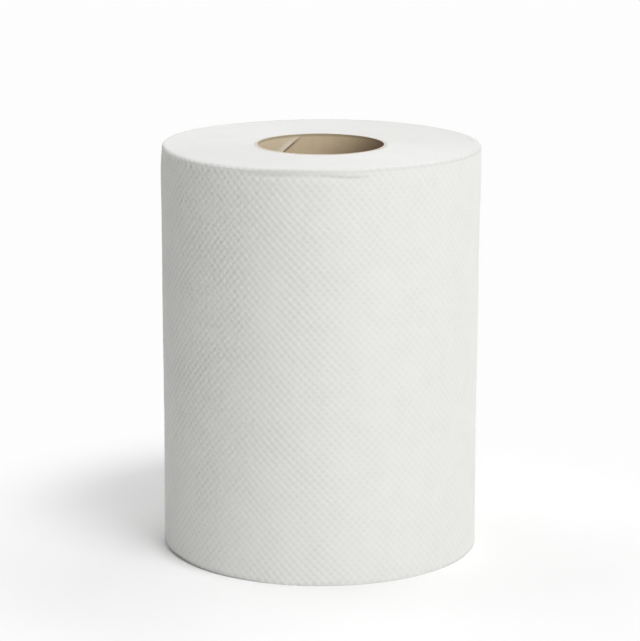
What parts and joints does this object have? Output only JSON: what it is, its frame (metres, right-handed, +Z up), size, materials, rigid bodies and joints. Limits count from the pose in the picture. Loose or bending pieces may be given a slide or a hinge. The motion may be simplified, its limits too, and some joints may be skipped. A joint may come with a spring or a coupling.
{
  "type": "paper towel roll",
  "caption": "Roll of embossed white paper towel wound on a cardboard tube, standing on its end, with an open bore for a holder's spindle.",
  "frame": {"origin": "middle of the end that the roll stands on", "axes": "+Z up along the roll's axis; -Y towards the side that the picture shows; +X to the right of that view"},
  "size_m": [0.1514, 0.1514, 0.195],
  "materials": {
    "towel_paper": "matte, finely embossed",
    "core_board": "matte, unbleached"
  },
  "bodies": {
    "root": {"paper_roll": "towel_paper", "cardboard_core": "core_board"}
  },
  "joints": []
}
